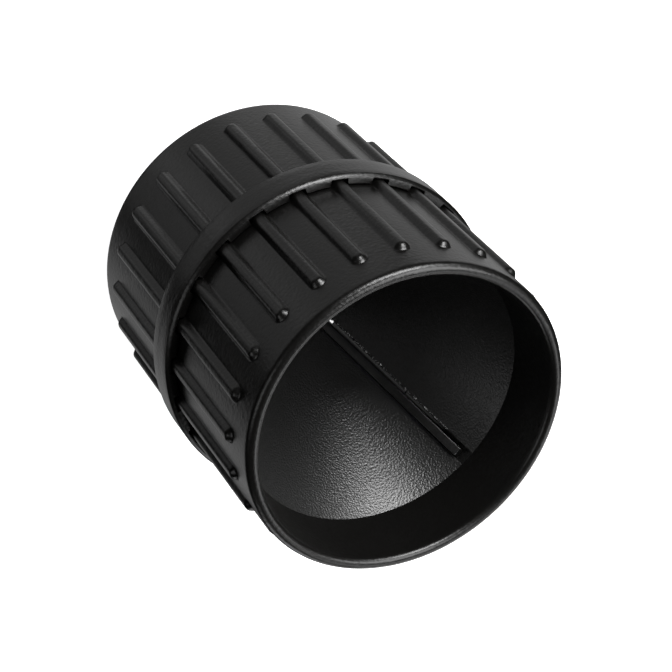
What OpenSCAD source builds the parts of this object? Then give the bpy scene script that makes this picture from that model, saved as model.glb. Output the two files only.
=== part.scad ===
// Hand reamer for the ends of round tube: a ribbed barrel in two halves around a bladed cone.
// The axis is +Z. The rear end stands on z = 0 and the mouth faces up. All sizes are in millimetres.
// A tube in the mouth meets the blades' front edges, which dress its outside edge. A tube pushed over
// the cone from the rear meets their rear edges, which dress its inside edge.

/* [Barrel] */
// Height from the rear end to the lip of the mouth
body_h = 61; // [60:0.5:63]
// Outer radius of the front shell between its ribs
front_r = 26; // [25.8:0.05:26.1]
// Outer radius of the rear shell between its ribs
rear_r = 26.2; // [26.1:0.05:26.4]
// Inner radius at the lip of the mouth
mouth_r = 24; // [23.8:0.05:24.2]
// Depth of the plain wall from the lip down to the cone
mouth_depth = 10.4; // [9:0.2:12]
// Radius of the round on the outer edge of both lips
lip_round = 0.9; // [0.6:0.05:1]
// Radius of the round on the inner edge of both lips
lip_inner_round = 0.5; // [0.3:0.05:0.6]

/* [Collar] */
// Height of the collar's rear face above the rear end
collar_z = 27.6; // [26:0.2:29]
// Width of the collar along the axis
collar_w = 5.8; // [5.4:0.1:6.4]
// Outer radius of the collar
collar_r = 27.9; // [27.8:0.05:28.4]
// Chamfer on the collar's front edge
collar_chamfer = 0.5; // [0.3:0.05:0.6]
// Gap between the front shell and the collar's opening
opening_gap = 0.2; // [0.1:0.05:0.3]

/* [Ribs] */
// Number of ribs around each shell
rib_count = 24; // [12:3:24]
// Width of one rib
rib_w = 2.3; // [1.8:0.1:2.8]
// Height of a rib above its shell
rib_h = 1; // [0.7:0.05:1.1]
// Distance from each lip to the round ends of the ribs
rib_inset = 5.7; // [4:0.1:8]

/* [Cone] */
// Inner radius of the cone at its base
cone_r = 23.2; // [22.8:0.05:23.3]
// Angle between the cone's wall and the axis
cone_angle = 33.5; // [32:0.5:36]
// Thickness of the cone's wall
cone_wall = 2.2; // [1.8:0.1:2.6]
// Width of the slots that the blades lie in
slot_w = 2.4; // [2:0.1:3]

/* [Blades] */
// Thickness of a blade
blade_t = 1.4; // [1:0.1:1.6]
// Height of a blade's front edge above the cone's inner face
front_proud = 0.9; // [0.5:0.1:1.4]
// Height of a blade's rear edge above the cone's outer face
rear_proud = 1.2; // [0.8:0.1:1.6]
// Distance along the cone from its base to the blades
blade_setback = 1.7; // [1.2:0.1:3]

/* [Hidden] */

// Smoothness of the revolved parts
$fn = 96;
// Room between pieces that are pressed together, and overlap that makes clean cuts
fit = 0.05;
cut = 1;
// Depth to which ribs are rooted inside their shell
rib_root = 0.5;

// Directions of the blades around the axis; a rib stands at each of them
blade_turns = [90, 210, 330];
// Sideways shift of a blade inside its wider slot, clockwise seen from the mouth
blade_shift = 0.27;

// Collar: front face, floor of its opening and floor of the plain bore below that
opening_depth = 3;
spigot_rise = 0.2;
collar_top = collar_z + collar_w;
opening_floor = collar_top - opening_depth;
spigot_floor = collar_z + spigot_rise;
opening_r = front_r + opening_gap;

// Spigot of the front shell inside the collar
spigot_step = 0.8;
spigot_r = front_r - spigot_step;
spigot_z = spigot_floor + spigot_rise;

// Bore behind the cone's seat, and the rear shell's cavity, which widens by this much to its mouth
cavity_draft = 0.1;
seat_z = body_h - mouth_depth;
bore_r = mouth_r + fit;
cavity_r = mouth_r - cavity_draft;
rear_mouth_r = mouth_r;

// Cone: apex of its inner face, height of the wall measured along the axis, and slant length
apex_z = seat_z - cone_r / tan(cone_angle);
wall_rise = cone_wall / sin(cone_angle);
cone_len = cone_r / sin(cone_angle);

// Hub at the cone's tip, and its wider foot on the cone's outer face
hub_r = 3;
hub_foot_r = 3.7;
hub_foot_h = 1;
nose_r = 0.8;
nose_flat_r = 0.5;
nose_h = 0.5;

// Blade ends: nearest approach to the axis, and farthest reach inside the slots
blade_tip_r = 1.1;
blade_end_gap = 0.2;
blade_end_r = cone_r - blade_end_gap;

// Ring that traps the blades' outer ends under the cone
ring_r = 21.4;
ring_base = 1.8;

// Points of an arc about [x, y], from angle a to angle b
function arc(x, y, r, a, b, n = 6) =
    [for (i = [0:n]) let (t = a + (b - a) * i / n) [x + r * cos(t), y + r * sin(t)]];

// Point [radius, height] at distance s from the inner apex along the cone and depth o into its wall
function slant(s, o) =
    [s * sin(cone_angle) + o * cos(cone_angle), apex_z + s * cos(cone_angle) - o * sin(cone_angle)];

// Distance along the cone at which depth o reaches radius r
function slant_at(r, o) = (r - o * cos(cone_angle)) / sin(cone_angle);

// Height of the cone's inner face at radius r
function cone_z(r) = apex_z + r / tan(cone_angle);

// One rib seen from outside: a bar from z = a to z = b, round at its ends when asked
module rib_outline(a, b, w, round_low, round_high) {
    low = a + (round_low ? w / 2 : 0);
    high = b - (round_high ? w / 2 : 0);
    translate([-w / 2, low]) square([w, high - low]);
    if (round_low) translate([0, low]) circle(d = w);
    if (round_high) translate([0, high]) circle(d = w);
}

// All ribs of one shell, between the radii inner and outer
module ribs(inner, outer, a, b, w, round_low = false, round_high = false) {
    intersection() {
        difference() {
            translate([0, 0, a - cut]) cylinder(r = outer, h = b - a + 2 * cut);
            translate([0, 0, a - 2 * cut]) cylinder(r = inner, h = b - a + 4 * cut);
        }
        union() {
            for (i = [0:rib_count - 1])
                rotate([0, 0, i * 360 / rib_count])
                    translate([inner - cut, 0, 0])
                        rotate([90, 0, 90])
                            linear_extrude(outer - inner + 2 * cut)
                                rib_outline(a, b, w, round_low, round_high);
        }
    }
}

// Side view of a blade, from the tip at the axis to the end under the cone's base
module blade_outline() {
    deep = cone_wall + rear_proud;
    end_s = cone_len - blade_setback;
    end_o = (blade_end_r - end_s * sin(cone_angle)) / cos(cone_angle);
    polygon([
        slant(slant_at(blade_tip_r, -front_proud), -front_proud),
        slant(end_s, -front_proud),
        slant(end_s, end_o),
        slant(slant_at(blade_end_r, deep), deep),
        slant(slant_at(blade_tip_r, deep), deep)
    ]);
}

// A blade of thickness t in its place at the given turn
module blade_plate(turn, t) {
    rotate([0, 0, turn])
        translate([0, -blade_shift, 0])
            rotate([90, 0, 0])
                translate([0, 0, -t / 2])
                    linear_extrude(t) blade_outline();
}

// Front half of the barrel: mouth wall, seat for the cone, ribs and the spigot that enters the collar
module front_shell() {
    color([0.15, 0.15, 0.15]) {
        rotate_extrude()
            polygon(concat(
                [[bore_r, spigot_z], [spigot_r, spigot_z], [spigot_r, opening_floor + fit],
                 [front_r, opening_floor + fit]],
                arc(front_r - lip_round, body_h - lip_round, lip_round, 0, 90),
                arc(mouth_r + lip_inner_round, body_h - lip_inner_round, lip_inner_round, 90, 180, 4),
                [[cone_r, seat_z], [bore_r, seat_z]]
            ));
        ribs(front_r - rib_root, front_r + rib_h, opening_floor + 2 * fit, body_h - rib_inset, rib_w,
             round_high = true);
    }
}

// Rear half of the barrel with the collar, whose opening is notched for the front ribs
module rear_shell() {
    color([0.13, 0.13, 0.13]) {
        difference() {
            rotate_extrude()
                polygon(concat(
                    [[rear_r, collar_z], [collar_r, collar_z], [collar_r, collar_top - collar_chamfer],
                     [collar_r - collar_chamfer, collar_top], [opening_r, collar_top],
                     [opening_r, opening_floor], [spigot_r + fit, opening_floor],
                     [spigot_r + fit, spigot_floor], [cavity_r, spigot_floor]],
                    arc(rear_mouth_r + lip_inner_round, lip_inner_round, lip_inner_round, 180, 270, 4),
                    arc(rear_r - lip_round, lip_round, lip_round, 270, 360)
                ));
            ribs(opening_r - rib_root, front_r + rib_h + opening_gap / 2, opening_floor, collar_top + cut,
                 rib_w + 2 * opening_gap);
        }
        ribs(rear_r - rib_root, rear_r + rib_h, rib_inset, collar_z + rib_root, rib_w, round_low = true);
    }
}

// Conical wall between the two mouths, with a rim that seats in the front shell and a slot per blade
module reamer_cone() {
    color([0.19, 0.19, 0.19])
        difference() {
            rotate_extrude()
                polygon([
                    [hub_r + fit, cone_z(hub_r + fit)],
                    [cone_r, seat_z - fit],
                    [mouth_r, seat_z - fit],
                    [mouth_r, cone_z(mouth_r) - wall_rise],
                    [hub_foot_r + fit, cone_z(hub_foot_r + fit) - wall_rise],
                    [hub_foot_r + fit, cone_z(hub_foot_r) - wall_rise + hub_foot_h],
                    [hub_r + fit, cone_z(hub_foot_r) - wall_rise + hub_foot_h]
                ]);
            for (turn = blade_turns)
                rotate([0, 0, turn])
                    translate([0, -slot_w / 2, 0])
                        cube([cone_r, slot_w, body_h]);
        }
}

// Ring under the cone's rim, with a notch that traps the outer end of each blade
module blade_ring() {
    low = slant(slant_at(ring_r, cone_wall + rear_proud), cone_wall + rear_proud)[1] - ring_base;
    color([0.17, 0.17, 0.17])
        difference() {
            rotate_extrude()
                polygon([
                    [ring_r, low],
                    [mouth_r, low],
                    [mouth_r, cone_z(mouth_r) - wall_rise - fit],
                    [ring_r, cone_z(ring_r) - wall_rise - fit]
                ]);
            for (turn = blade_turns)
                blade_plate(turn, blade_t + 2 * fit);
        }
}

// Steel nose at the cone's tip, slotted for the inner ends of the blades
module tip_hub() {
    foot_top = cone_z(hub_foot_r) - wall_rise + hub_foot_h - fit;
    color([0.5, 0.5, 0.52])
        difference() {
            rotate_extrude()
                polygon([
                    [0, cone_z(nose_r) - wall_rise - nose_h],
                    [nose_flat_r, cone_z(nose_r) - wall_rise - nose_h],
                    [nose_r, cone_z(nose_r) - wall_rise],
                    [hub_foot_r, cone_z(hub_foot_r) - wall_rise],
                    [hub_foot_r, foot_top],
                    [hub_r, foot_top],
                    [hub_r, cone_z(hub_r)],
                    [0, cone_z(0)]
                ]);
            for (turn = blade_turns)
                blade_plate(turn, blade_t + 2 * fit);
        }
}

// One steel blade, in its slot
module blade(turn) {
    color([0.42, 0.42, 0.43])
        blade_plate(turn, blade_t);
}

front_shell();
rear_shell();
reamer_cone();
blade_ring();
tip_hub();
blade(blade_turns[0]);  // blade_1
blade(blade_turns[1]);  // blade_2
blade(blade_turns[2]);  // blade_3
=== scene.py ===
"""Looks of a two-ended tube reamer: ribbed shells, grained cone, blades, their finishes and a plain studio.

Sizes in the classes are in millimetres and finished meshes are in metres, in the frame of the CAD model:
the tool's axis is +Z, its rear end stands on z = 0 and its mouth faces up.
"""

import logging
import math
from dataclasses import dataclass
from enum import Enum
from typing import Any, Union

import bpy
import numpy as np
from mathutils import Matrix, Vector


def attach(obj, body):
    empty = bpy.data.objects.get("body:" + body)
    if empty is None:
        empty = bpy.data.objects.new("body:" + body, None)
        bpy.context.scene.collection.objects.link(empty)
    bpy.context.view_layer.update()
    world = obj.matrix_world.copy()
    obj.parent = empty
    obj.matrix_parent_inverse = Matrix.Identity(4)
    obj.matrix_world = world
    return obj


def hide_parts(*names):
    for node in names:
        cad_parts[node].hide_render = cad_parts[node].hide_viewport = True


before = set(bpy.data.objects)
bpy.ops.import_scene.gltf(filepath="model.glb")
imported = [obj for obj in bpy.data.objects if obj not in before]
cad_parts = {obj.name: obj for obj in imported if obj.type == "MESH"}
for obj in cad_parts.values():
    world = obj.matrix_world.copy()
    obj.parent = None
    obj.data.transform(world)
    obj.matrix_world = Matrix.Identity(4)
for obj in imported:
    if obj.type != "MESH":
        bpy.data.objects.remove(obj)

log = logging.getLogger("tube_reamer")

Array = np.ndarray
Colour = tuple[float, float, float]
MM = 0.001
ROOT = "root"
OCTAVE_SHARE = 0.55
PEBBLE_SOFTNESS = 0.6
HARD_ANGLE = 60.0
MERGE_DIGITS = 4
AIM_HEIGHT_MM = 34.0


class Finish(Enum):
    """The finishes of the tool, by the record's material slots."""

    SHELL = "shell_plastic"
    CONE = "cone_plastic"
    BLADE = "blade_steel"
    HUB = "hub_steel"


class Texture(Enum):
    """Node types of the patterns that the finishes are made of."""

    NOISE = "ShaderNodeTexNoise"
    CELLS = "ShaderNodeTexVoronoi"


# ---------------------------------------------------------------- shader graph


Value = Union["Signal", float, int]


class Signal:
    """A number put out by a node. Arithmetic on it adds Math nodes to its graph."""

    def __init__(self, graph: "Graph", socket: bpy.types.NodeSocket) -> None:
        """Keeps the socket and the graph that it belongs to."""
        self.graph = graph
        self.socket = socket

    def _math(self, operation: str, first: Value, second: Value) -> "Signal":
        """Adds one Math node on two values and returns what it puts out."""
        made = self.graph.node("ShaderNodeMath", {"operation": operation}, {0: first, 1: second})
        return Signal(self.graph, made.outputs[0])

    def __add__(self, other: Value) -> "Signal":
        """Sum."""
        return self._math("ADD", self, other)

    def __radd__(self, other: Value) -> "Signal":
        """Sum with a number on the left."""
        return self._math("ADD", other, self)

    def __sub__(self, other: Value) -> "Signal":
        """Difference."""
        return self._math("SUBTRACT", self, other)

    def __rsub__(self, other: Value) -> "Signal":
        """Difference with a number on the left."""
        return self._math("SUBTRACT", other, self)

    def __mul__(self, other: Value) -> "Signal":
        """Product."""
        return self._math("MULTIPLY", self, other)

    def __rmul__(self, other: Value) -> "Signal":
        """Product with a number on the left."""
        return self._math("MULTIPLY", other, self)

    def above(self, limit: float) -> "Signal":
        """1 where it is above the limit, else 0."""
        return self._math("GREATER_THAN", self, limit)

    def size(self) -> "Signal":
        """Its value without the sign."""
        return self._math("ABSOLUTE", self, 0.0)


class Graph:
    """The node tree of one material, ending in a Principled shader."""

    def __init__(self, name: str) -> None:
        """Makes an empty material with that name."""
        self.material = bpy.data.materials.new(name)
        self.material.use_nodes = True
        self.tree = self.material.node_tree
        self.tree.nodes.clear()

    def node(self, kind: str, settings: dict[str, Any], inputs: dict[Any, Any]) -> bpy.types.Node:
        """Adds a node.

        Args:
            kind: the node's type.
            settings: its settings, set before its sockets.
            inputs: a value, a Signal or a socket for each named or numbered socket.

        Returns:
            The node.
        """
        made = self.tree.nodes.new(kind)
        for name, value in settings.items():
            setattr(made, name, value)
        for key, value in inputs.items():
            if isinstance(value, Signal):
                value = value.socket
            if isinstance(value, bpy.types.NodeSocket):
                self.tree.links.new(value, made.inputs[key])
            else:
                made.inputs[key].default_value = value
        return made

    def place(self) -> bpy.types.NodeSocket:
        """Object coordinates, in metres."""
        return self.node("ShaderNodeTexCoord", {}, {}).outputs["Object"]

    def noise(self, size_mm: float, detail: float, where: bpy.types.NodeSocket) -> Signal:
        """Fractal noise whose largest features are about size_mm across.

        Args:
            size_mm: size of a feature.
            detail: number of finer octaves.
            where: the coordinates that it is read at.

        Returns:
            A number from 0 to 1.
        """
        inputs = {"Vector": where, "Scale": 1.0 / (size_mm * MM), "Detail": detail, "Roughness": OCTAVE_SHARE}
        return Signal(self, self.node(Texture.NOISE.value, {}, inputs).outputs["Fac"])

    def cells(self, size_mm: float, where: bpy.types.NodeSocket) -> Signal:
        """Distance to the nearest of scattered points, which makes rounded pebbles.

        Args:
            size_mm: distance between the points.
            where: the coordinates that it is read at.

        Returns:
            A number from 0 at a point to about 1 between points.
        """
        inputs = {"Vector": where, "Scale": 1.0 / (size_mm * MM), "Randomness": 1.0, "Smoothness": PEBBLE_SOFTNESS}
        made = self.node(Texture.CELLS.value, {"feature": "SMOOTH_F1"}, inputs)
        return Signal(self, made.outputs["Distance"])

    def mixed(self, factor: Value, low: Union[Colour, bpy.types.NodeSocket], high: Colour) -> bpy.types.NodeSocket:
        """A colour between two.

        Args:
            factor: 0 for the low colour and 1 for the high one.
            low: a colour or the socket of one.
            high: a colour.

        Returns:
            The socket of the mixed colour.
        """
        first = (*low, 1.0) if isinstance(low, tuple) else low
        return self.node("ShaderNodeMix", {"data_type": "RGBA"}, {0: factor, 6: first, 7: (*high, 1.0)}).outputs[2]

    def bumped(self, height: Signal, depth_mm: float) -> bpy.types.NodeSocket:
        """A normal bent by a height from 0 to 1 that stands for depth_mm."""
        made = self.node("ShaderNodeBump", {}, {"Strength": 1.0, "Distance": depth_mm * MM, "Height": height})
        return made.outputs["Normal"]

    def finish(self, inputs: dict[str, Any]) -> bpy.types.Material:
        """Ends the graph in a Principled shader with those inputs and returns the material."""
        shader = self.node("ShaderNodeBsdfPrincipled", {}, inputs)
        self.node("ShaderNodeOutputMaterial", {}, {"Surface": shader.outputs[0]})
        return self.material


# -------------------------------------------------------------------- finishes


@dataclass(frozen=True)
class SlotPattern:
    """Where the cone's slots are, in degrees and millimetres, and the strip beside each where glints are painted.
    """

    turns: tuple[float, ...] = (90.0, 210.0, 330.0)
    width: float = 2.4
    # The strip along each slot where grey specks are painted as glints of light on the flash.
    glint_strip_middle: float = 1.23
    glint_strip_half: float = 0.12
    glint_strip_from: float = 4.0
    glint_strip_to: float = 20.3
    speck_mm: float = 0.3
    speck_limit: float = 0.54


SLOTS = SlotPattern()


@dataclass(frozen=True)
class MouldedPlastic:
    """Black moulded plastic with the grain of its mould."""

    name: str
    valley: Colour
    crest: Colour
    roughness: float
    roughness_spread: float
    grain_mm: float
    grain_depth_mm: float
    pebble_share: float
    specular: float = 0.5
    glint_grey: float = 0.0
    pebble_ratio: float = 1.3
    slow_mm: float = 9.0
    slow_share: float = 0.3

    def material(self) -> bpy.types.Material:
        """Builds the finish.

        The height is noise of the grain's size mixed with rounded pebbles of that size. Crests are a little
        lighter, and a slow noise varies the gloss as handling and the mould's flow do. Along one edge of each
        slot, grey specks are painted as glints of light on the flash: a painted highlight, not the plastic's
        colour.

        Returns:
            The material.
        """
        graph = Graph(self.name)
        where = graph.place()
        noise = graph.noise(self.grain_mm, 3.0, where)
        pebbles = 1.0 - graph.cells(self.grain_mm * self.pebble_ratio, where)
        height = (1.0 - self.pebble_share) * noise + self.pebble_share * pebbles
        slow = graph.noise(self.slow_mm, 2.0, where)
        gloss = self.roughness + (slow - 0.5) * self.roughness_spread + (noise - 0.5) * self.roughness_spread
        shade = (1.0 - self.slow_share) * height + self.slow_share * slow
        colour = graph.mixed(shade, self.valley, self.crest)
        if self.glint_grey > 0.0:
            # Painted highlight: grey specks along the slots stand in for glints of light on the flash.
            colour = graph.mixed(self.painted_glints(graph, where), colour, (self.glint_grey,) * 3)
        return graph.finish(
            {
                "Base Color": colour,
                "Roughness": gloss,
                "Specular IOR Level": self.specular,
                "Normal": graph.bumped(height, self.grain_depth_mm),
            }
        )

    def painted_glints(self, graph: Graph, where: bpy.types.NodeSocket) -> Signal:
        """Share of painted glints: small specks in a thin strip along one edge of each slot, painted highlights.

        The coordinates are turned so that a slot runs along X. The strip is where Y is near the slot's half
        width, and the specks are where a fine noise is high.

        Args:
            graph: the material's graph.
            where: its Object coordinates.

        Returns:
            A number from 0 to 1.
        """
        glint_specks = graph.noise(SLOTS.speck_mm, 1.0, where).above(SLOTS.speck_limit)
        total: Value = 0.0
        for turn in SLOTS.turns:
            mapping = {"Vector": where, "Rotation": (0.0, 0.0, -math.radians(turn))}
            turned = graph.node("ShaderNodeMapping", {}, mapping).outputs["Vector"]
            parts = graph.node("ShaderNodeSeparateXYZ", {}, {"Vector": turned}).outputs
            out, across = Signal(graph, parts["X"]), Signal(graph, parts["Y"])
            beside = 1.0 - (across - SLOTS.glint_strip_middle * MM).size().above(SLOTS.glint_strip_half * MM)
            along = out.above(SLOTS.glint_strip_from * MM) * (1.0 - out.above(SLOTS.glint_strip_to * MM))
            total = beside * along + total
        return total * glint_specks


@dataclass(frozen=True)
class GroundSteel:
    """Hardened steel, darkened by its heat treatment, with the fine lines of grinding across it."""

    name: str
    dark: Colour
    bright: Colour
    roughness: float
    line_mm: float
    line_depth_mm: float
    roughness_spread: float = 0.2
    squeeze: float = 0.12
    patch_mm: float = 2.5
    patch_share: float = 0.6

    def material(self) -> bpy.types.Material:
        """Builds the finish.

        Grinding lines are noise squeezed along the tool's axis, so that it changes quickly with height and
        slowly across. Patches of a slower noise vary the temper colour.

        Returns:
            The material.
        """
        graph = Graph(self.name)
        where = graph.place()
        mapping = {"Vector": where, "Scale": (self.squeeze, self.squeeze, 1.0)}
        squeezed = graph.node("ShaderNodeMapping", {}, mapping).outputs["Vector"]
        lines = graph.noise(self.line_mm, 2.0, squeezed)
        patches = graph.noise(self.patch_mm, 3.0, where)
        shade = self.patch_share * patches + (1.0 - self.patch_share) * lines
        return graph.finish(
            {
                "Base Color": graph.mixed(shade, self.dark, self.bright),
                "Metallic": 1.0,
                "Roughness": self.roughness + (lines - 0.5) * self.roughness_spread,
                "Normal": graph.bumped(lines, self.line_depth_mm),
            }
        )


SHELL_PLASTIC = MouldedPlastic(
    name="shell_plastic",
    valley=(0.0025, 0.0024, 0.0022),
    crest=(0.0042, 0.004, 0.0037),
    roughness=0.3,
    roughness_spread=0.05,
    grain_mm=0.5,
    grain_depth_mm=0.055,
    pebble_share=0.4,
)
CONE_PLASTIC = MouldedPlastic(
    name="cone_plastic",
    valley=(0.006, 0.006, 0.0059),
    crest=(0.011, 0.011, 0.0107),
    roughness=0.37,
    roughness_spread=0.06,
    grain_mm=0.25,
    grain_depth_mm=0.085,
    pebble_share=0.6,
    specular=0.8,
    # Grey of the glints painted along the slots, a painted highlight.
    glint_grey=0.3,
)
BLADE_STEEL = GroundSteel(
    name="blade_steel",
    dark=(0.05, 0.05, 0.05),
    bright=(0.11, 0.11, 0.11),
    roughness=0.36,
    line_mm=0.12,
    line_depth_mm=0.004,
)
HUB_STEEL = GroundSteel(
    name="hub_steel",
    dark=(0.24, 0.24, 0.245),
    bright=(0.4, 0.4, 0.41),
    roughness=0.3,
    line_mm=0.18,
    line_depth_mm=0.004,
)


# ---------------------------------------------------------------------- meshes


def mesh_piece(name: str, points: Array, faces: list, hard_angle: float = HARD_ANGLE) -> bpy.types.Object:
    """Makes a mesh object at the origin from points in millimetres.

    Args:
        name: the piece's name.
        points: an array of shape (n, 3).
        faces: lists of point numbers.
        hard_angle: angle in degrees past which an edge stays hard.

    Returns:
        The object, smooth but for its hard edges.
    """
    mesh = bpy.data.meshes.new(name)
    mesh.from_pydata(points * MM, [], faces)
    mesh.validate()
    mesh.shade_smooth()
    mesh.set_sharp_from_angle(angle=math.radians(hard_angle))
    made = bpy.data.objects.new(name, mesh)
    bpy.context.scene.collection.objects.link(made)
    return made


def closed_surface(radius: Array, height: Array, turns: Array) -> tuple[Array, list]:
    """Points and faces of a surface that is closed both round the axis and along its profile.

    A point is (radius * cos turn, radius * sin turn, height) with row for the profile and column for the
    turn. Rows run so that the outside is on the right-hand side going up.

    Args:
        radius: radii of shape (rows, columns).
        height: heights of the same shape.
        turns: directions of the columns, in radians.

    Returns:
        Points of shape (rows * columns, 3) and faces of four points.
    """
    rows, columns = radius.shape
    points = np.stack([radius * np.cos(turns), radius * np.sin(turns), height], axis=-1).reshape(-1, 3)
    numbers = np.arange(rows * columns).reshape(rows, columns)
    right = np.roll(numbers, -1, axis=1)
    up = np.roll(numbers, -1, axis=0)
    across = np.roll(right, -1, axis=0)
    return points, np.stack([numbers, right, across, up], axis=-1).reshape(-1, 4).tolist()


def corner_points(mesh: bpy.types.Mesh) -> Array:
    """The points of a mesh, in millimetres."""
    points = np.empty(len(mesh.vertices) * 3)
    mesh.vertices.foreach_get("co", points)
    return points.reshape(-1, 3) / MM


def arc(x: float, z: float, r: float, start: float, end: float, steps: int = 6) -> Array:
    """Points (radius, height) on an arc about (x, z) from one angle to another, in degrees."""
    angle = np.radians(np.linspace(start, end, steps + 1))
    return np.stack([x + r * np.cos(angle), z + r * np.sin(angle)], axis=-1)


def smooth_step(value: Array) -> Array:
    """0 below 0, 1 above 1, and half a cosine wave in between."""
    return 0.5 - 0.5 * np.cos(np.pi * np.clip(value, 0.0, 1.0))


@dataclass
class RibPattern:
    """The ribs that both shells share, and the columns of the grid that follows them."""

    count: int = 24
    half_foot: float = 1.5
    fullness: float = 1.75
    pitch_radius: float = 26.5
    end_rows: int = 17
    end_margin: float = 0.06
    end_gap: float = 1.0
    fine: tuple[float, ...] = (
        *(0.15, 0.3, 0.44, 0.56, 0.67, 0.78, 0.88, 0.98),
        *(1.08, 1.18, 1.28, 1.38, 1.48, 1.66, 2.1, 2.7),
    )

    def turns(self) -> Array:
        """Directions of all columns, in radians, close together on the flanks of every rib."""
        half_pitch = math.pi * self.pitch_radius / self.count
        side = np.array(self.fine)
        arcs = np.concatenate([-side[::-1], [0.0], side, [half_pitch]])
        starts = np.arange(self.count)[:, None] * 2.0 * math.pi / self.count
        return (starts + arcs / self.pitch_radius).ravel()

    def offset(self, turns: Array) -> Array:
        """Distance of each column from the middle of its nearest rib, along the arc."""
        pitch = 2.0 * math.pi / self.count
        return np.abs((turns + pitch / 2) % pitch - pitch / 2) * self.pitch_radius

    def rise(self, turns: Array, beyond: Array) -> Array:
        """Share of a rib's height at each point, from 0 on the shell to 1 on its crest.

        The distance from the rib's middle line, which ends at the centre of its round end, is divided by the
        half width of the foot and raised to the power of the fullness. One less that goes through half a
        cosine wave, which makes a rounded crest, a steep flank and a small hollow at the root.

        Args:
            turns: directions of the columns.
            beyond: distance of each row past the centre of the round end, negative along the rib.

        Returns:
            Shares of shape (rows, columns).
        """
        away = np.hypot(self.offset(turns)[None, :], np.maximum(beyond, 0.0)[:, None])
        return smooth_step(1.0 - np.minimum(away / self.half_foot, 1.0) ** self.fullness)


RIBS = RibPattern()


# -------------------------------------------------------------- sub-assemblies


@dataclass
class FrontShell:
    """Front half of the barrel: mouth, ribs, seat of the cone and the spigot inside the collar.

    The rows are heights where the wall gets one more ring of points.
    """

    radius: float = 26.0
    lip_height: float = 61.0
    mouth_radius: float = 24.0
    seat_radius: float = 23.2
    seat_height: float = 50.6
    foot_height: float = 30.45
    spigot_radius: float = 25.2
    spigot_foot: float = 28.0
    bore_radius: float = 24.05
    outer_round: float = 1.1
    inner_round: float = 0.85
    rib_end: float = 55.8
    rib_rise: float = 1.0
    rib_drop: float = 0.1
    low_rows: tuple[float, ...] = (31.6, 33.2, 35.0, 38.0, 42.0, 46.0, 50.0)
    high_rows: tuple[float, ...] = (56.5, 57.7, 58.9, 59.6)
    bore_row: float = 40.0
    mouth_rows: int = 9
    mouth_first: float = 0.04

    def profile(self) -> tuple[Array, Array]:
        """Profile points (radius, height) going up the outside and down the inside, and which carry ribs."""
        top = self.rib_end - RIBS.half_foot
        wall_z = np.concatenate(
            [
                [self.foot_height, *self.low_rows, top - RIBS.end_gap],
                np.linspace(top, self.rib_end + RIBS.end_margin, RIBS.end_rows),
                self.high_rows,
            ]
        )
        wall = np.stack([np.full_like(wall_z, self.radius), wall_z], axis=-1)
        outer, inner = self.outer_round, self.inner_round
        lip = arc(self.radius - outer, self.lip_height - outer, outer, 0, 90, 8)
        rim = arc(self.mouth_radius + inner, self.lip_height - inner, inner, 90, 180, 6)
        share = np.linspace(self.mouth_first, 1.0, self.mouth_rows)[:, None]
        mouth = rim[-1] + share * (np.array([self.seat_radius, self.seat_height]) - rim[-1])
        inside = np.array(
            [
                [self.bore_radius, self.seat_height],
                [self.bore_radius, self.bore_row],
                [self.bore_radius, self.spigot_foot],
                [self.spigot_radius, self.spigot_foot],
                [self.spigot_radius, self.foot_height],
            ]
        )
        points = np.concatenate([wall, lip, rim, mouth, inside])
        ribbed = np.zeros(len(points), bool)
        ribbed[: len(wall)] = True
        return points, ribbed

    def build(self) -> bpy.types.Object:
        """Builds the shell: the profile turned round the axis, its wall raised by the ribs, and dresses it."""
        points, ribbed = self.profile()
        turns = RIBS.turns()
        height = np.repeat(points[:, 1:2], len(turns), axis=1)
        along = (points[:, 1] - self.foot_height) / (self.rib_end - self.foot_height)
        crest = (self.rib_rise - self.rib_drop * along) * ribbed
        rise = RIBS.rise(turns, points[:, 1] - (self.rib_end - RIBS.half_foot))
        radius = points[:, 0:1] + crest[:, None] * rise
        shell = mesh_piece("front_shell_moulding", *closed_surface(radius, height, turns))
        return dress(shell, Finish.SHELL, "front_shell")


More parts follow.
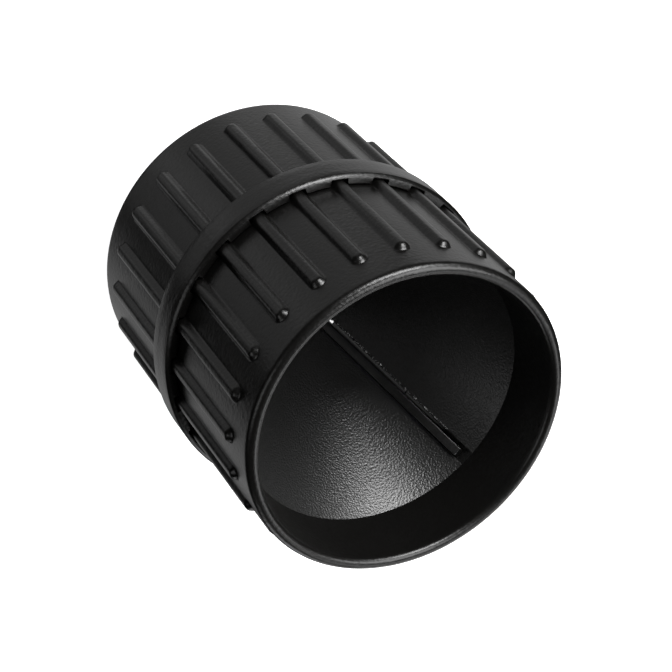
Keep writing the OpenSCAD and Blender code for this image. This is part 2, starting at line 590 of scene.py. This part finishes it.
@dataclass
class RearShell:
    """Rear half of the barrel: rear lip, ribs, and the collar with its notched opening.

    The rows are heights where a wall gets one more ring of points.
    """

    radius: float = 26.2
    mouth_radius: float = 24.0
    cavity_radius: float = 23.9
    outer_round: float = 1.1
    inner_round: float = 0.85
    rib_end: float = 5.5
    rib_rise: float = 1.0
    collar_foot: float = 27.6
    collar_top: float = 33.4
    collar_radius: float = 27.9
    collar_round: float = 0.22
    chamfer: float = 0.5
    opening_radius: float = 26.2
    opening_floor: float = 30.4
    notch_half: float = 1.5
    notch_slope: float = 0.16
    notch_depth: float = 0.9
    edge_break: float = 0.2
    spigot_radius: float = 25.25
    spigot_floor: float = 27.8
    draft: float = 0.03
    margin: float = 0.06
    chamfer_back: float = 0.05
    chamfer_in: float = 0.02
    chamfer_up: float = 0.03
    low_rows: tuple[float, ...] = (1.6, 2.8, 4.0)
    high_rows: tuple[float, ...] = (11.0, 15.0, 19.0, 23.0, 26.6)
    band_rows: tuple[float, float] = (29.5, 31.5)
    opening_row: float = 32.0
    cavity_rows: tuple[float, float] = (18.0, 8.0)

    def profile(self) -> tuple[Array, Array, Array]:
        """Profile points going up the outside and down the inside, with which carry ribs and which notches."""
        end = self.rib_end + RIBS.half_foot
        wall_z = np.concatenate(
            [
                self.low_rows,
                np.linspace(self.rib_end - RIBS.end_margin, end, RIBS.end_rows),
                [end + RIBS.end_gap, *self.high_rows, self.collar_foot],
            ]
        )
        lip = arc(self.radius - self.outer_round, self.outer_round, self.outer_round, 270, 360, 8)
        wall = np.stack([np.full_like(wall_z, self.radius), wall_z], axis=-1)
        edge = self.collar_round
        low = arc(self.collar_radius - edge, self.collar_foot + edge, edge, 270, 360, 4)
        chamfer_z, chamfer_r = self.collar_top - self.chamfer, self.collar_radius - self.chamfer
        band = np.array(
            [
                [self.collar_radius, self.band_rows[0]],
                [self.collar_radius, self.band_rows[1]],
                [self.collar_radius, chamfer_z - self.chamfer_back],
                [self.collar_radius - self.chamfer_in, chamfer_z + self.chamfer_up],
                [chamfer_r + self.chamfer_in, self.collar_top - self.chamfer_up],
                [chamfer_r - self.chamfer_back, self.collar_top],
            ]
        )
        broken = self.edge_break
        opening = np.array(
            [
                [self.opening_radius + broken + self.margin, self.collar_top],
                *arc(self.opening_radius + broken, self.collar_top - broken, broken, 90, 180, 4),
                [self.opening_radius, self.collar_top - broken - self.margin],
                [self.opening_radius, self.opening_row],
                [self.opening_radius, self.opening_floor],
            ]
        )
        inside = np.array(
            [
                [self.spigot_radius, self.opening_floor],
                [self.spigot_radius, self.spigot_floor],
                [self.cavity_radius, self.spigot_floor],
                [self.cavity_radius + self.draft, self.cavity_rows[0]],
                [self.cavity_radius + 2.0 * self.draft, self.cavity_rows[1]],
            ]
        )
        rim = arc(self.mouth_radius + self.inner_round, self.inner_round, self.inner_round, 180, 270, 6)
        parts = [lip, wall, low, band, opening, inside, rim]
        ribbed = np.concatenate([np.full(len(part), part is wall) for part in parts])
        notched = np.concatenate([np.full(len(part), part is opening) for part in parts])
        return np.concatenate(parts), ribbed, notched

    def build(self) -> bpy.types.Object:
        """Builds the shell: the profile turned, raised by the ribs and let out at the notches, and dresses it."""
        points, ribbed, notched = self.profile()
        turns = RIBS.turns()
        height = np.repeat(points[:, 1:2], len(turns), axis=1)
        rise = RIBS.rise(turns, (self.rib_end + RIBS.half_foot) - points[:, 1])
        notch = smooth_step((self.notch_half - RIBS.offset(turns)) / self.notch_slope)[None, :]
        radius = points[:, 0:1] + self.rib_rise * ribbed[:, None] * rise
        radius = radius + self.notch_depth * notched[:, None] * notch
        shell = mesh_piece("rear_shell_moulding", *closed_surface(radius, height, turns))
        return dress(shell, Finish.SHELL, "rear_shell")


@dataclass
class ReamerCone:
    """Grained funnel between the two mouths, slotted for the blades, with a ragged flash along its slots."""

    base_radius: float = 23.2
    base_height: float = 50.55
    rim_radius: float = 24.0
    half_angle: float = 33.5
    apex_height: float = 15.549
    wall: float = 2.2
    hub_radius: float = 3.05
    foot_radius: float = 3.75
    foot_rise: float = 1.0
    columns: int = 288
    rows: int = 15
    foot_gap: float = 0.05
    cutter_low: float = 5.0
    cutter_high: float = 60.0
    flash_from: float = 4.0
    flash_short: float = 3.0
    flash_steps: int = 130
    flash_sides: int = 6
    flash_size: float = 0.32
    flash_least: float = 0.2
    flash_power: float = 1.6
    flash_tip: float = 0.004
    first_seed: int = 3
    hard_angle: float = 32.0

    def _inner(self, radius: Any) -> Any:
        """Height of the inner face at a radius."""
        return self.apex_height + radius / math.tan(math.radians(self.half_angle))

    def profile(self) -> Array:
        """Profile of the unslotted wall, going up the outside and down the inside."""
        drop = self.wall / math.sin(math.radians(self.half_angle))
        foot_top = self._inner(self.foot_radius - self.foot_gap) - drop + self.foot_rise
        outside_r = np.linspace(self.foot_radius, self.rim_radius, self.rows)
        outside = np.stack([outside_r, self._inner(outside_r) - drop], axis=-1)
        rim = np.array([[self.rim_radius, self.base_height]])
        inside_r = np.linspace(self.base_radius, self.hub_radius, self.rows)
        inside_z = np.minimum(self._inner(inside_r), self.base_height)
        inside = np.stack([inside_r, inside_z], axis=-1)
        step = np.array([[self.hub_radius, foot_top], [self.foot_radius, foot_top]])
        return np.concatenate([outside, rim, inside, step])

    def cutter(self) -> bpy.types.Object:
        """Three upright plates as wide as a slot, which reach from the axis to the cone's base."""
        half, far = SLOTS.width / 2, self.base_radius
        outline = ((0.0, -half), (far, -half), (far, half), (0.0, half))
        corners = np.array([[x, y, z] for z in (self.cutter_low, self.cutter_high) for x, y in outline])
        sides = np.array([[3, 2, 1, 0], [4, 5, 6, 7], [0, 1, 5, 4], [1, 2, 6, 5], [2, 3, 7, 6], [3, 0, 4, 7]])
        angles = np.radians(SLOTS.turns)
        cosine, sine = np.cos(angles), np.sin(angles)
        zero, one = np.zeros_like(angles), np.ones_like(angles)
        spin = np.array([[cosine, -sine, zero], [sine, cosine, zero], [zero, zero, one]])
        points = np.einsum("ijk,nj->kni", spin, corners).reshape(-1, 3)
        faces = (sides[None] + 8 * np.arange(len(angles))[:, None, None]).reshape(-1, 4).tolist()
        return mesh_piece("slot_cutter", points, faces)

    def flash(self, turn: float, seed: int) -> tuple[Array, list]:
        """A ragged bead of flash along the left edge of a slot, seen from the axis.

        The bead is a closed tube of six sides along the edge of the inner face. Its radius is drawn by chance
        at every step, mostly small, so that its facets face all ways as those of ragged flash do.

        Args:
            turn: direction of the slot, in degrees.
            seed: number that sets the chance.

        Returns:
            Points in millimetres and faces.
        """
        chance = np.random.default_rng(seed)
        along = np.linspace(self.flash_from, self.base_radius - self.flash_short, self.flash_steps)
        drawn = chance.uniform(self.flash_least, 1.0, (self.flash_steps, self.flash_sides))
        size = self.flash_size * drawn**self.flash_power
        size[[0, -1]] = self.flash_tip
        ring = np.linspace(0, 2 * math.pi, self.flash_sides + 1)[:-1]
        tilt = math.radians(self.half_angle)
        out = along[:, None] + size * np.cos(ring) * -math.cos(tilt)
        up = self._inner(along)[:, None] + size * np.cos(ring) * math.sin(tilt)
        across = SLOTS.width / 2 + size * np.sin(ring)
        angle = math.radians(turn)
        x = out * math.cos(angle) - across * math.sin(angle)
        y = out * math.sin(angle) + across * math.cos(angle)
        points = np.stack([x, y, up], axis=-1).reshape(-1, 3)
        numbers = np.arange(len(points)).reshape(-1, self.flash_sides)
        turned = np.roll(numbers, -1, axis=1)
        quads = np.stack([numbers[:-1], turned[:-1], turned[1:], numbers[1:]], axis=-1).reshape(-1, 4)
        return points, quads.tolist() + [numbers[0][::-1].tolist(), numbers[-1].tolist()]

    def build(self) -> bpy.types.Object:
        """Builds the turned wall, cuts the slots, adds the flash and dresses the whole."""
        profile = self.profile()
        turns = np.linspace(0, 2 * math.pi, self.columns, endpoint=False)
        wide = np.ones((1, self.columns))
        wall = closed_surface(profile[:, 0:1] * wide, profile[:, 1:2] * wide, turns)
        cone = mesh_piece("reamer_cone_wall", *wall)
        cutter = self.cutter()
        cut = cone.modifiers.new("slots", "BOOLEAN")
        cut.object, cut.operation, cut.solver = cutter, "DIFFERENCE", "EXACT"
        bake_modifiers(cone)
        bpy.data.objects.remove(cutter)
        points = corner_points(cone.data)
        faces = [list(face.vertices) for face in cone.data.polygons]
        bpy.data.objects.remove(cone)
        for seed, turn in enumerate(SLOTS.turns, self.first_seed):
            more, more_faces = self.flash(turn, seed)
            faces += [[number + len(points) for number in face] for face in more_faces]
            points = np.concatenate([points, more])
        whole = mesh_piece("reamer_cone_moulding", points, faces, self.hard_angle)
        return dress(whole, Finish.CONE, "reamer_cone")


@dataclass
class Blade:
    """One flat blade with its corners broken by grinding."""

    number: int
    edge_break: float = 0.13
    flat_angle: float = 20.0
    bevel_angle: float = 25.0
    hard_angle: float = 50.0

    def build(self) -> bpy.types.Object:
        """Builds the blade from its CAD node's outline and dresses it.

        The CAD solid is a flat plate, so its corners are merged and the plate gets a fine bevel.

        Returns:
            The blade.
        """
        node = f"blade_{self.number}"
        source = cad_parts[node].data
        points = corner_points(source)
        near = np.round(points, MERGE_DIGITS)
        _, first, back = np.unique(near, axis=0, return_index=True, return_inverse=True)
        loops = np.empty(len(source.loops), int)
        source.loops.foreach_get("vertex_index", loops)
        triangles = back.ravel()[loops].reshape(-1, 3)
        made = mesh_piece(f"{node}_plate", points[first], triangles.tolist(), self.flat_angle)
        bevel = made.modifiers.new("ground edges", "BEVEL")
        bevel.width, bevel.segments = self.edge_break * MM, 2
        bevel.limit_method, bevel.angle_limit = "ANGLE", math.radians(self.bevel_angle)
        bake_modifiers(made)
        made.data.set_sharp_from_angle(angle=math.radians(self.hard_angle))
        return dress(made, Finish.BLADE, node)


def bake_modifiers(piece: bpy.types.Object) -> None:
    """Puts the result of a piece's modifiers in its mesh and removes them."""
    graph = bpy.context.evaluated_depsgraph_get()
    graph.update()
    final = bpy.data.meshes.new_from_object(piece.evaluated_get(graph))
    piece.modifiers.clear()
    piece.data = final


MATERIALS: dict[Finish, bpy.types.Material] = {}


def dress(piece: bpy.types.Object, finish: Finish, node: str) -> bpy.types.Object:
    """Gives a piece its finish, sets it on the body and lets it stand for its CAD node."""
    piece.data.materials.clear()
    piece.data.materials.append(MATERIALS[finish])
    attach(piece, ROOT)
    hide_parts(node)
    return piece


@dataclass
class KeptNode:
    """A CAD node whose shape is right and which only gets its finish."""

    node: str
    finish: Finish

    def build(self) -> bpy.types.Object:
        """Puts the finish on the node."""
        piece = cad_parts[self.node]
        piece.data.materials.clear()
        piece.data.materials.append(MATERIALS[self.finish])
        return piece


# ---------------------------------------------------------------------- studio


@dataclass(frozen=True)
class SoftLight:
    """A square soft light that faces the tool from a direction."""

    name: str
    azimuth: float
    elevation: float
    power: float
    size: float = 0.5
    distance: float = 1.0

    def build(self, aim: Vector) -> bpy.types.Object:
        """Puts the light up and turns it to the aim point."""
        data = bpy.data.lights.new(self.name, "AREA")
        data.shape, data.size, data.energy = "SQUARE", self.size, self.power
        lamp = bpy.data.objects.new(self.name, data)
        across, up = math.radians(self.azimuth), math.radians(self.elevation)
        away = Vector((math.cos(across) * math.cos(up), math.sin(across) * math.cos(up), math.sin(up)))
        lamp.location = aim + away * self.distance
        lamp.rotation_mode = "QUATERNION"
        lamp.rotation_quaternion = away.to_track_quat("Z", "Y")
        lamp.visible_camera = False
        bpy.context.scene.collection.objects.link(lamp)
        return lamp


LIGHTS = (
    SoftLight("key", 214.0, 28.0, 10.0, 0.45),
    SoftLight("key_left", 194.0, 24.0, 2.5, 0.4),
    SoftLight("overhead", 165.0, 60.0, 8.5, 0.68),
    SoftLight("right", 97.0, 40.0, 1.1, 0.36),
    SoftLight("right_far", 70.0, 38.0, 0.8, 0.36),
    SoftLight("back_rim", 82.0, -8.0, 4.0, 0.8),
    SoftLight("right_rim", 38.0, 4.0, 1.6, 0.5),
    SoftLight("front_fill", 315.0, 20.0, 0.9, 0.5),
    SoftLight("bounce_left", 150.0, -54.0, 1.5, 0.9),
    SoftLight("bounce_right", 20.0, -54.0, 0.7, 0.7),
    SoftLight("bounce_front", 235.0, -50.0, 0.65, 0.8),
    SoftLight("bounce_low", 286.0, -50.0, 0.25, 0.5),
)


@dataclass
class Studio:
    """Pale floor that sweeps up all round, soft lights and the camera."""

    aim: Vector
    floor_radius: float = 0.8
    wall_radius: float = 1.6
    middle_radii: tuple[float, float] = (0.001, 0.3)
    columns: int = 64
    dome_end: float = 89.9
    floor_grey: float = 0.8
    floor_glow: float = 1.0
    sky: float = 0.01
    lens: float = 106.75
    sensor: float = 36.0
    place_mm: tuple[float, float, float] = (-24.54, -194.53, 279.42)
    right: tuple[float, float, float] = (-0.672, 0.611, 0.4184)
    up: tuple[float, float, float] = (-0.7365, -0.493, -0.4631)

    def backdrop(self) -> bpy.types.Object:
        """A flat pale floor that sweeps up into a dome.

        Its profile is flat to the floor radius, then a quarter turn up to the wall and a half dome over it.
        It is seen from inside only, and the camera alone sees it, so that the lights outside still reach
        the tool.

        Returns:
            The backdrop.
        """
        sweep = self.wall_radius - self.floor_radius
        corner = arc(self.floor_radius, sweep, sweep, 270, 360, 16)
        dome = arc(0.0, sweep, self.wall_radius, 0, self.dome_end, 24)[1:]
        profile = np.concatenate([[[radius, 0.0] for radius in self.middle_radii], corner, dome])
        turns = np.linspace(0, 2 * math.pi, self.columns, endpoint=False)
        across, height = profile[:, 0:1], profile[:, 1:2] * np.ones(self.columns)
        points = np.stack([across * np.cos(turns), across * np.sin(turns), height], axis=-1).reshape(-1, 3)
        numbers = np.arange(len(points)).reshape(len(profile), self.columns)
        turned = np.roll(numbers, -1, axis=1)
        quads = np.stack([numbers[1:], turned[1:], turned[:-1], numbers[:-1]], axis=-1).reshape(-1, 4)
        made = mesh_piece("pale_floor", points / MM, [numbers[0].tolist()] + quads.tolist())
        graph = Graph("pale_floor")
        glow = {"Emission Color": (1.0, 1.0, 1.0, 1.0), "Emission Strength": self.floor_glow}
        paint = {"Base Color": (self.floor_grey, self.floor_grey, self.floor_grey, 1.0), "Roughness": 0.9}
        pale = graph.node("ShaderNodeBsdfPrincipled", {}, {**paint, **glow})
        clear = graph.node("ShaderNodeBsdfTransparent", {}, {})
        behind = graph.node("ShaderNodeNewGeometry", {}, {}).outputs["Backfacing"]
        both = graph.node("ShaderNodeMixShader", {}, {0: behind, 1: pale.outputs[0], 2: clear.outputs[0]})
        graph.node("ShaderNodeOutputMaterial", {}, {"Surface": both.outputs[0]})
        made.data.materials.append(graph.material)
        made.visible_diffuse = made.visible_glossy = made.visible_shadow = made.visible_transmission = False
        return made

    def camera(self) -> bpy.types.Object:
        """The camera, a long lens that looks down into the mouth from the front."""
        data = bpy.data.cameras.new("camera")
        data.sensor_width, data.lens = self.sensor, self.lens
        data.clip_start, data.clip_end = 0.01, 20.0
        made = bpy.data.objects.new("camera", data)
        right = Vector(self.right)
        back = right.cross(Vector(self.up)).normalized()
        up = back.cross(right.normalized())
        rotation = Matrix((right.normalized(), up, back)).transposed()
        made.matrix_world = Matrix.Translation(Vector(self.place_mm) * MM) @ rotation.to_4x4()
        bpy.context.scene.collection.objects.link(made)
        bpy.context.scene.camera = made
        return made

    def build(self) -> None:
        """Puts up the backdrop, an even grey sky, the lights and the camera."""
        self.backdrop()
        world = bpy.data.worlds.new("studio")
        bpy.context.scene.world = world
        world.use_nodes = True
        sky = world.node_tree.nodes["Background"].inputs
        sky["Color"].default_value, sky["Strength"].default_value = (1.0, 1.0, 1.0, 1.0), self.sky
        for light in LIGHTS:
            light.build(self.aim)
        self.camera()
        bpy.context.scene.view_settings.view_transform = "Standard"
        bpy.context.scene.view_settings.look = "None"


# ------------------------------------------------------------------------ main


def main() -> None:
    """Builds every sub-assembly and the studio."""
    logging.basicConfig(level=logging.INFO, format="%(message)s")
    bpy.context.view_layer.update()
    MATERIALS.update(
        {
            Finish.SHELL: SHELL_PLASTIC.material(),
            Finish.CONE: CONE_PLASTIC.material(),
            Finish.BLADE: BLADE_STEEL.material(),
            Finish.HUB: HUB_STEEL.material(),
        }
    )
    parts = [
        FrontShell(),
        RearShell(),
        ReamerCone(),
        *[Blade(number) for number in range(1, len(SLOTS.turns) + 1)],
        KeptNode("blade_ring", Finish.CONE),
        KeptNode("tip_hub", Finish.HUB),
    ]
    for part in parts:
        piece = part.build()
        log.info("%s: %d points, %d faces", piece.name, len(piece.data.vertices), len(piece.data.polygons))
    Studio(Vector((0.0, 0.0, AIM_HEIGHT_MM * MM))).build()


if __name__ == "__main__":
    main()
